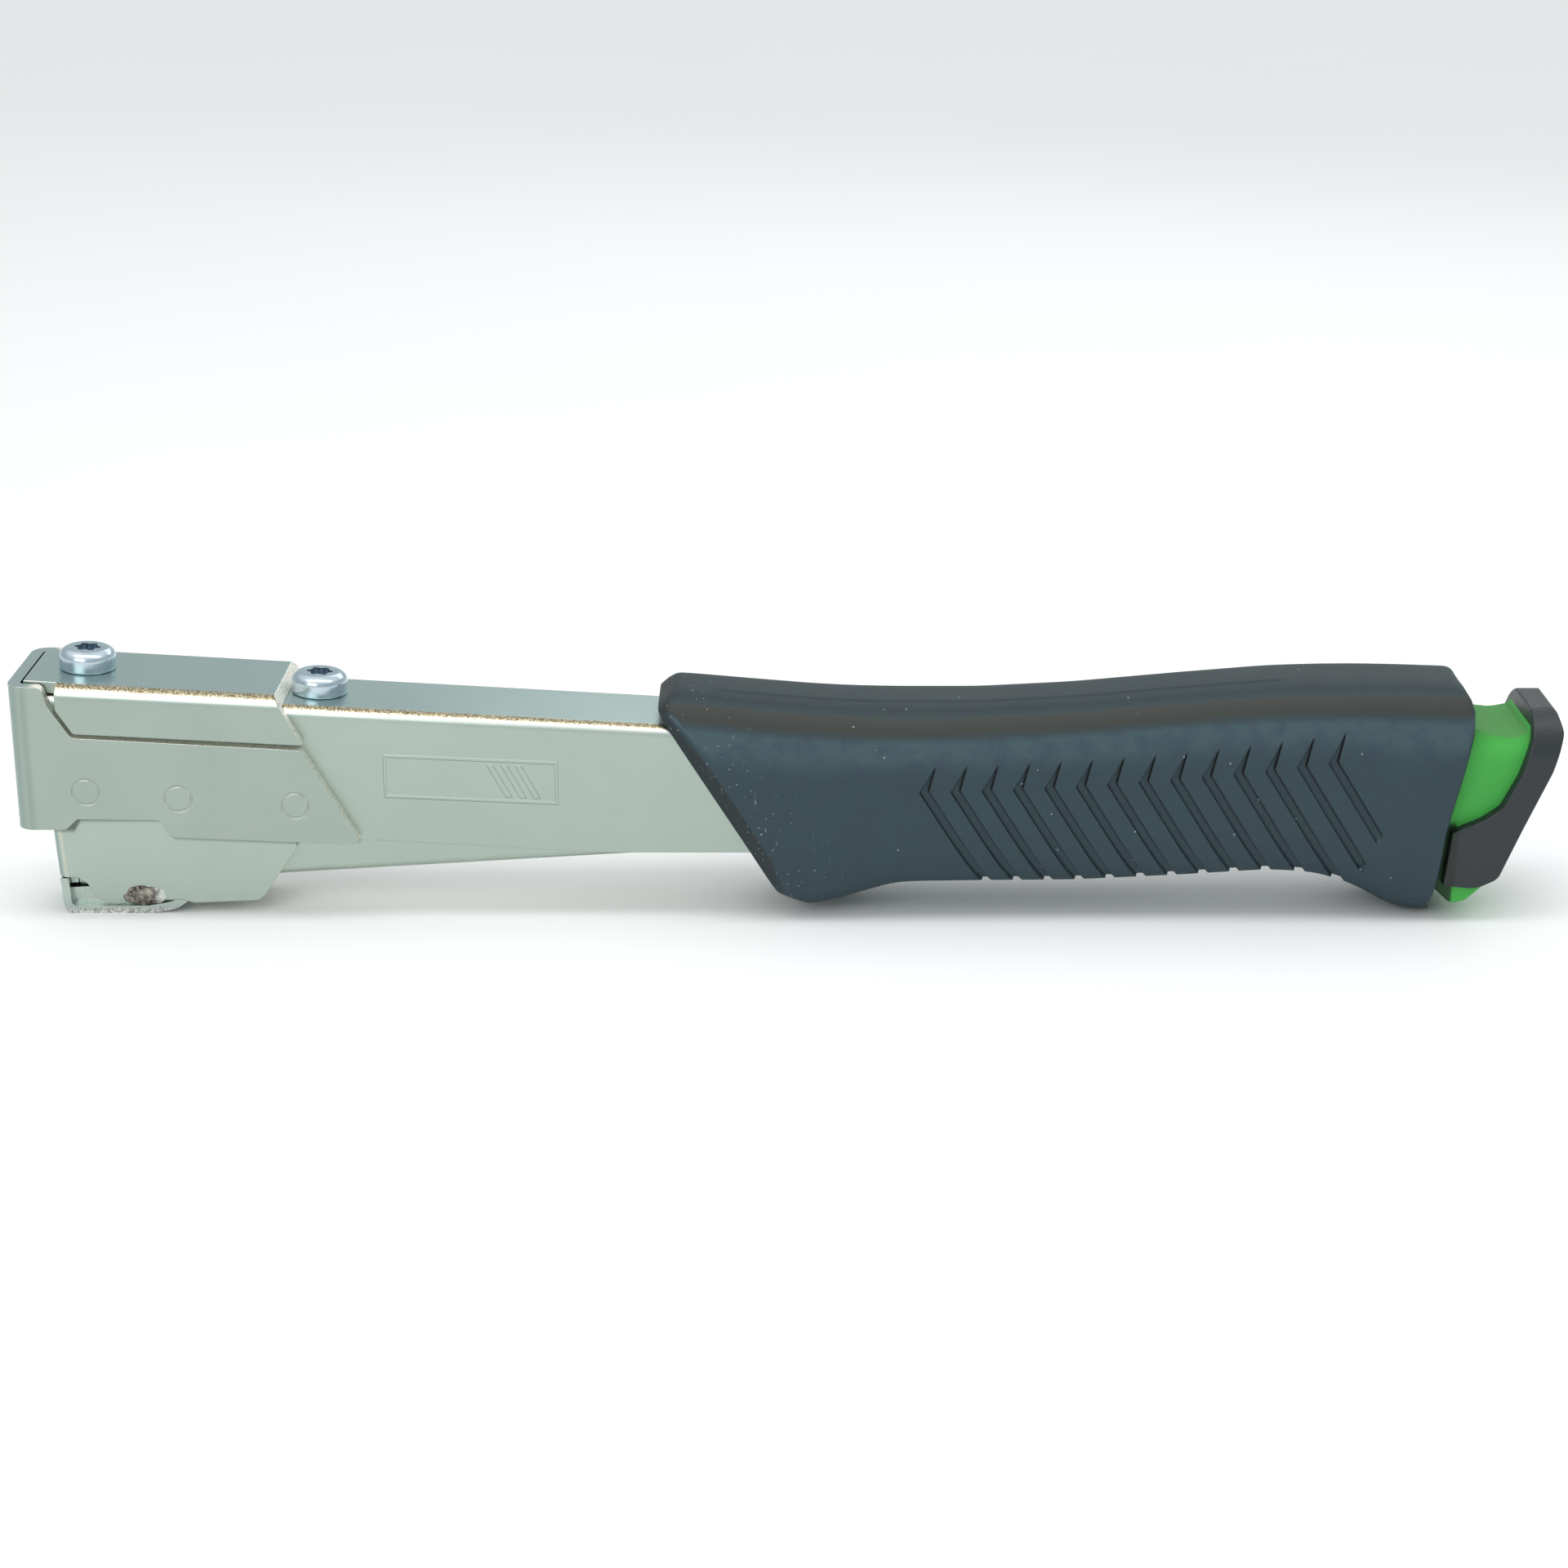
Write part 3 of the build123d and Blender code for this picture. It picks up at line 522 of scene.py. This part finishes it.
def smooth_stations():
    """The stations' columns sampled every quarter millimetre and softened."""
    x = np.arange(-60, 176, 0.25)
    kernel = np.exp(-0.5 * (np.arange(-40, 41) * 0.25 / 2.6) ** 2)
    kernel /= kernel.sum()
    columns = [np.interp(x, STATIONS[:, 0], STATIONS[:, c]) for c in (1, 2, 3)]
    return x, [np.convolve(np.pad(c, 40, "edge"), kernel, "valid") for c in columns]


STATION_X, STATION_COLUMNS = smooth_stations()


def station(x):
    """Underside, top and half width of the grip at X."""
    return [np.interp(x, STATION_X, column) for column in STATION_COLUMNS]


def front_line(z):
    """X of the grip's slanting front edge at a height."""
    return np.interp(z, [-1, 5.2, 15.6, 42.5, 46, 48, 53], [6.5, -1, -7.3, -24.2, -26.4, -26.9, -27])


def rear_line(z):
    """X of the grip's rear edge at a height."""
    return np.interp(z, [-1, 6.3, 21, 35.8, 42, 46.5, 48.5, 50.2, 51.6, 53],
                     [137.6, 138.8, 140.1, 143.4, 144.7, 145, 144.5, 143.5, 141.6, 139])


def chevron_tip(i):
    """X and Z of a chevron's sharp upper end."""
    return 31.9 + PITCH * i, 35.7 + 0.12 * i + 0.035 * i * i


def chevron_line(i, offset, z):
    """X of a line that follows chevron i, between its left edge (0) and right edge (GROOVE)."""
    tip_x, tip_z = chevron_tip(i)
    rise = 5.8 + 0.8 * i / (CHEVRONS - 1)
    above = z - (tip_z - rise) - 0.35 * offset / GROOVE
    taper = np.interp(above, [0, rise - 0.4, rise + 6], [1, 0.08, 1])
    return (tip_x - 3.5 + 3.5 / rise * np.maximum(above, 0)
            + LEG_SLOPE * np.maximum(-above, 0) + offset * taper)


def grip_lines():
    """The grip's cross lines: (X as a function of Z, distance behind a rim, groove or None)."""
    lines = []
    for d in RIM_STEPS:
        lines.append((lambda z, d=d: front_line(z) + d, d, None))

    def between(first, second, share):
        return lambda z: (1 - share) * first(z) + share * second(z)

    start = lambda z: front_line(z) + RIM_END
    for share in np.linspace(0, 1, 31)[1:-1]:
        lines.append((between(start, lambda z: chevron_line(0, 0, z) - 0.3, share), 99, None))
    lines.append((lambda z: chevron_line(0, 0, z) - 0.3, 99, None))
    for i in range(CHEVRONS):
        for offset, depth, shade in GROOVE_PROFILE:
            line = lambda z, i=i, offset=offset: chevron_line(i, offset, z)
            lines.append((line, 99, (i, depth, shade, offset)))
        right = lambda z, i=i: chevron_line(i, GROOVE, z)
        left = lambda z, i=i: chevron_line(i + 1, 0, z)
        if i < CHEVRONS - 1:
            for share in (.06, .22, .45, .7, .94):
                lines.append((between(right, left, share), 99, None))
    last = lambda z: chevron_line(CHEVRONS - 1, GROOVE, z) + 0.3
    lines.append((last, 99, None))
    near_rear = lambda z: rear_line(z) - 1.6
    for share in np.linspace(0, 1, 19)[1:]:
        lines.append((between(last, near_rear, share), 99, None))
    for d in REAR_STEPS:
        lines.append((lambda z, d=d: rear_line(z) - d, -d - 0.001, None))
    return lines


def rim_inset(behind):
    """How far the surface lies inside the full section near the front and rear rims."""
    if behind < 0:
        return 1.0 - math.sqrt(max(0.0, 1.0 - (1.0 + behind) ** 2)) if behind > -1.0 else 0.0
    slope = 3.5 * (RIM - behind) / RIM
    return 0.5 * (slope + math.sqrt(slope * slope + 0.05)) if behind < 8 else 0.0


def row_angles():
    """Directions round the section, spaced evenly along its outline."""
    angle = np.linspace(-math.pi / 2, 1.5 * math.pi, 7201)
    radius = ((np.abs(np.cos(angle)) / 15.6) ** SQUARENESS
              + (np.abs(np.sin(angle)) / 21.0) ** SQUARENESS) ** (-1 / SQUARENESS)
    y, z = radius * np.cos(angle), radius * np.sin(angle)
    length = np.concatenate([[0], np.cumsum(np.hypot(np.diff(y), np.diff(z)))])
    return np.interp(np.linspace(0, length[-1], ROWS + 1)[:-1], length, angle)


def groove_depth(groove, z):
    """Depth of a groove at a height: it fades in at the tip and ends at its slanting foot."""
    i, share, _, slant = groove
    tip = chevron_tip(i)[1]
    foot = GROOVE_FEET.get(i, -9.0)
    fade = np.clip((tip - z) / 0.9, 0, 1) * np.clip((z - foot - slant) / 0.6, 0, 1)
    return GROOVE_DEPTH * share * fade


def grip_ring(line, behind, groove, angle):
    """One ring of the grip's outer surface along a cross line."""
    inset = rim_inset(behind)
    share = max(0.0, 1 - behind / RIM) if behind >= 0 else 0.0
    power = SQUARENESS + (RIM_SQUARENESS - SQUARENESS) * share
    z = np.full(ROWS, 25.0)
    for _ in range(14):
        x = line(z)
        low, high, half = station(x)
        a, b, middle = half - inset, (high - low) / 2 - inset, (high + low) / 2
        radius = ((np.abs(np.cos(angle)) / a) ** power
                  + (np.abs(np.sin(angle)) / b) ** power) ** (-1 / power)
        y, z = radius * np.cos(angle), middle + radius * np.sin(angle)
    if groove:
        ny = np.sign(y) * (np.abs(y) / a) ** (power - 1) / a
        nz = np.sign(z - middle) * (np.abs(z - middle) / b) ** (power - 1) / b
        size = np.hypot(ny, nz)
        depth = groove_depth(groove, z)
        y, z = y - depth * ny / size, z - depth * nz / size
    strip = (np.interp(np.abs(y), [4.7, 5.2], [1, 0]) * (z > middle)
             * np.interp(x, [-15, -13, 104, 108], [0, 1, 1, 0]))
    # painted shade along the groove creases, kept with each point
    shade = np.zeros(ROWS)
    if groove:
        tip_z = chevron_tip(groove[0])[1]
        i, _, painted_crease_shade, offset = groove
        # the painted shade fades on a groove's left edge below the bend
        lower = np.interp(tip_z - z, [6, 9], [1.0, 0.45 if offset < GROOVE else 1])
        shade = painted_crease_shade * np.clip(groove_depth((i, 1, 0, offset), z) / 0.4, 0, 1) * lower
    return np.stack([x, y, z + STRIP_HEIGHT * strip, shade], 1)


def box_ring(angle, half, low, high, x):
    """A rectangular ring; X is a number or a function of Z."""
    middle, reach = (low + high) / 2, (high - low) / 2
    scale = np.minimum(half / np.maximum(np.abs(np.cos(angle)), 1e-9),
                       reach / np.maximum(np.abs(np.sin(angle)), 1e-9))
    y, z = scale * np.cos(angle), middle + scale * np.sin(angle)
    x = x(z) if callable(x) else np.full(ROWS, float(x))
    return np.stack([x, y, z, np.zeros(ROWS)], 1)


def build_grip():
    """The rubber sleeve with its chevrons, rims, rear pocket and inner cavity."""
    angle = row_angles()
    rings = [grip_ring(line, behind, groove, angle) for line, behind, groove in grip_lines()]
    rings.append(box_ring(angle, 12.7, 4.2, 44.4, lambda z: rear_line(z) - 0.4))
    rings.append(box_ring(angle, 12.7, 4.2, 44.4, 133.2))
    rings.append(box_ring(angle, 11.75, 14.3, 43.15, 133.1))
    for x, low, high in ((40, 14.3, 42.5), (37, 11.7, 42.4), (23, 11.7, 42.1), (20, 13.3, 42.0),
                         (8, 12.5, 41.9)):
        rings.append(box_ring(angle, 11.75, low, high, x))
    rings.append(box_ring(angle, 11.75, 11.0, 43.25, lambda z: front_line(z) + 0.3))
    faces = ring_faces(len(rings), ROWS, closed=True)
    points = np.concatenate(rings)
    made = mesh_object("grip_sleeve", points[:, :3], faces, SLOT_MATERIALS["grip_rubber"], 38)
    # painted shade of the groove creases, stored as a point attribute
    painted_crease_shade = made.data.attributes.new("painted_groove_shade", "FLOAT", "POINT")
    painted_crease_shade.data.foreach_set("value", points[:, 3].astype(np.float32))
    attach(made, "hammer_body")
    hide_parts("grip")
    return made


build_grip()

# ------------------------------------------------------------------ springs


def coil(name, start, end, radius, wire, turns, material):
    """A round-wire compression spring between two points, its end turns closed."""
    start, end = np.array(start, float), np.array(end, float)
    axis = (end - start) / np.linalg.norm(end - start)
    side = np.cross(axis, (0, 1, 0))
    side /= np.linalg.norm(side)
    up = np.cross(axis, side)
    steps = turns * 18
    along = np.linspace(0, 1, steps + 1)
    pitch = np.interp(along, [0, 1 / turns, 1 - 1 / turns, 1], [0.35, 1, 1, 0.35])
    travel = np.concatenate([[0], np.cumsum((pitch[1:] + pitch[:-1]) / 2)])
    travel = wire + travel / travel[-1] * (np.linalg.norm(end - start) - 2 * wire)
    points = []
    for k in range(steps + 1):
        turn = 2 * math.pi * turns * along[k]
        out = side * math.cos(turn) + up * math.sin(turn)
        centre = start + axis * travel[k] + out * (radius - wire)
        for q in range(8):
            a = 2 * math.pi * q / 8
            points.append(centre + wire * (out * math.cos(a) + axis * math.sin(a)))
    faces = ring_faces(steps + 1, 8, closed=False)
    faces.append(tuple(range(8)))
    faces.append(tuple(steps * 8 + q for q in range(8)))
    return mesh_object(name, points, faces, material)


def centre_of(node):
    """Lowest corner, highest corner and middle of a CAD node, in millimetres."""
    low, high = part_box(node)
    low, high = np.array(low) / MM, np.array(high) / MM
    return low, high, (low + high) / 2


low, high, middle = centre_of("return_spring")
return_coil = coil("return_coil", (middle[0], middle[1], low[2]), (middle[0], middle[1], high[2]),
                   6.1, 0.6, 6, SLOT_MATERIALS["spring_steel"])
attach(return_coil, "hammer_body")
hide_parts("return_spring")
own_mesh(return_coil)

TILT = math.radians(3.52)          # slope of the magazine
FEED_REACH = 131.3                 # half the feed spring's length
ALONG = np.array([math.cos(TILT), 0, math.sin(TILT)])
low, high, middle = centre_of("feed_spring")
feed_start = middle - ALONG * FEED_REACH
feed_end = middle + ALONG * FEED_REACH
feed_coil = coil("feed_coil", feed_start, feed_end, 3.0, 0.36, 58, SLOT_MATERIALS["spring_steel"])
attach(feed_coil, "feeder")
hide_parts("feed_spring")
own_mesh(feed_coil)

# ------------------------------------------------------------------ weld beads


BEAD_RINGS = 26
BEAD_CORNERS = 64
BEAD_HEIGHT = 1.5


def weld_blob(side):
    """An uneven bead that spreads over the joint of nosepiece and foot."""
    low, high, middle = centre_of("nose_welds")
    half = (high - low) / 2
    wall = high[1] - BEAD_HEIGHT
    rings, count = BEAD_RINGS, BEAD_CORNERS
    points = []
    for r in range(rings + 1):
        share = r / rings
        for k in range(count):
            a = 2 * math.pi * k / count
            direction = Vector((math.cos(a), math.sin(a), side * 3.0))
            edge = 0.93 + 0.16 * noise.noise(direction * 1.7) + 0.10 * noise.noise(direction * 4.1)
            edge = min(edge, 0.98)
            x = middle[0] + half[0] * share * edge * math.cos(a)
            z = middle[2] + half[2] * share * edge * math.sin(a)
            lump = noise.noise(Vector((x * 0.9, z * 0.9, side * 7.0)))
            lump += 0.5 * noise.noise(Vector((x * 2.3, z * 2.3, side * 5.0)))
            height = 1.15 * (1 - share ** 3.0) * (0.82 + 0.35 * lump)
            points.append((x, side * (wall - 0.15 + min(height, 1.4)), z))
    faces = ring_faces(rings + 1, count, closed=False)
    return points, faces


blob_points, blob_faces = [], []
for blob_side in (-1, 1):
    some_points, some_faces = weld_blob(blob_side)
    first = len(blob_points)
    blob_points += some_points
    blob_faces += [tuple(first + corner for corner in face) for face in some_faces]
beads = mesh_object("weld_beads", blob_points, blob_faces, SLOT_MATERIALS["weld_metal"])
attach(beads, "magazine")
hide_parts("nose_welds")

# ------------------------------------------------------------------ studio


def studio_floor():
    """A pale floor with a barely visible cloudiness."""
    bpy.ops.mesh.primitive_plane_add(size=16.0, location=(0, 0, 0))
    floor = bpy.context.object
    floor.name = "floor"
    material, tree, shader = new_material("floor")
    colour = mix(tree, grain(tree, 6.0, 3.0), (0.90, 0.91, 0.91, 1), (0.93, 0.93, 0.93, 1))
    feed(tree, shader.inputs["Base Color"], colour)
    shader.inputs["Roughness"].default_value = 0.9
    shader.inputs["Specular IOR Level"].default_value = 0.1
    floor.data.materials.append(material)


def soft_light(name, place, width, depth, power):
    """A rectangular area light aimed at the middle of the tool."""
    data = bpy.data.lights.new(name, "AREA")
    data.shape = "RECTANGLE"
    data.size, data.size_y = width, depth
    data.energy = power
    light = bpy.data.objects.new(name, data)
    light.location = place
    aim = Vector((0, 0, 0.03)) - Vector(place)
    light.rotation_euler = aim.to_track_quat("-Z", "Y").to_euler()
    bpy.context.scene.collection.objects.link(light)


def studio_sky():
    """A soft sky: mid grey near the horizon, bright overhead."""
    world = bpy.data.worlds.new("studio")
    bpy.context.scene.world = world
    world.use_nodes = True
    tree = world.node_tree
    tree.nodes.clear()
    coord = tree.nodes.new("ShaderNodeTexCoord")
    _, _, z = parts_of(tree, coord.outputs["Generated"])
    low = mix(tree, ramp(tree, z, -0.1, 0.30), (0.72, 0.76, 0.75, 1), (0.52, 0.58, 0.59, 1))
    colour = mix(tree, ramp(tree, z, 0.38, 0.85), low, (1.02, 1.03, 1.03, 1))
    background = tree.nodes.new("ShaderNodeBackground")
    tree.links.new(colour, background.inputs["Color"])
    background.inputs["Strength"].default_value = 1.0
    out = tree.nodes.new("ShaderNodeOutputWorld")
    tree.links.new(background.outputs[0], out.inputs[0])


def studio_camera():
    """A long lens looking slightly down at the tool's side."""
    data = bpy.data.cameras.new("camera")
    data.lens = 70.31
    data.sensor_width = 36.0
    data.clip_start = 0.01
    camera = bpy.data.objects.new("camera", data)
    camera.location = (0.0, -0.6221, 0.2467)
    camera.rotation_euler = (math.radians(70.5), 0, 0)
    bpy.context.scene.collection.objects.link(camera)
    bpy.context.scene.camera = camera


studio_floor()
studio_sky()
soft_light("overhead", (0.0, -0.15, 0.75), 1.1, 0.26, 2.2)
soft_light("front_fill", (-0.5, -0.9, 0.55), 0.7, 0.5, 2.4)
soft_light("back_edge", (0.3, 0.8, 0.6), 0.9, 0.3, 1.0)
studio_camera()
bpy.context.scene.view_settings.view_transform = "Standard"
